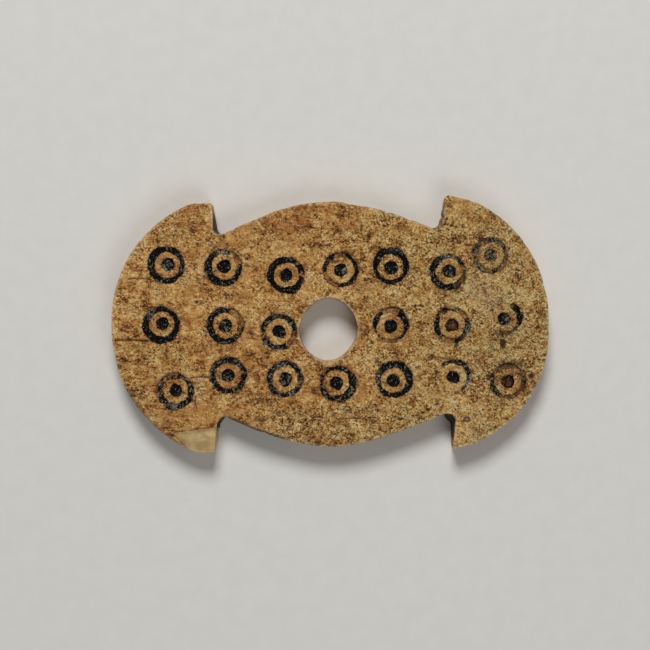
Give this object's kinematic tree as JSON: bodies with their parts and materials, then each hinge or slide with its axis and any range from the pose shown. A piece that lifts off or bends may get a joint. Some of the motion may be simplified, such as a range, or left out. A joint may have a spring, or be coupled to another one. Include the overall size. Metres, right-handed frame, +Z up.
{
  "type": "spindle whorl",
  "caption": "Flat carved bone spindle whorl: plate with rounded ends, barbed and notched corners, a shaft hole and ring-and-dot ornament.",
  "frame": {"origin": "bottom centre of the plate's box, on the surface that it lies on", "axes": "+X along the plate, +Y across it towards the upper row of rings, +Z up out of the ornamented face"},
  "size_m": [0.062, 0.0366, 0.004],
  "materials": {
    "bone": "aged bone, dry and satin, speckled brown, with black paste in the ring-and-dot cuts",
    "fill": "smooth pale repair fill, faintly translucent"
  },
  "bodies": {
    "root": {"whorl_plate": "bone", "tip_fill": "fill"}
  },
  "joints": []
}
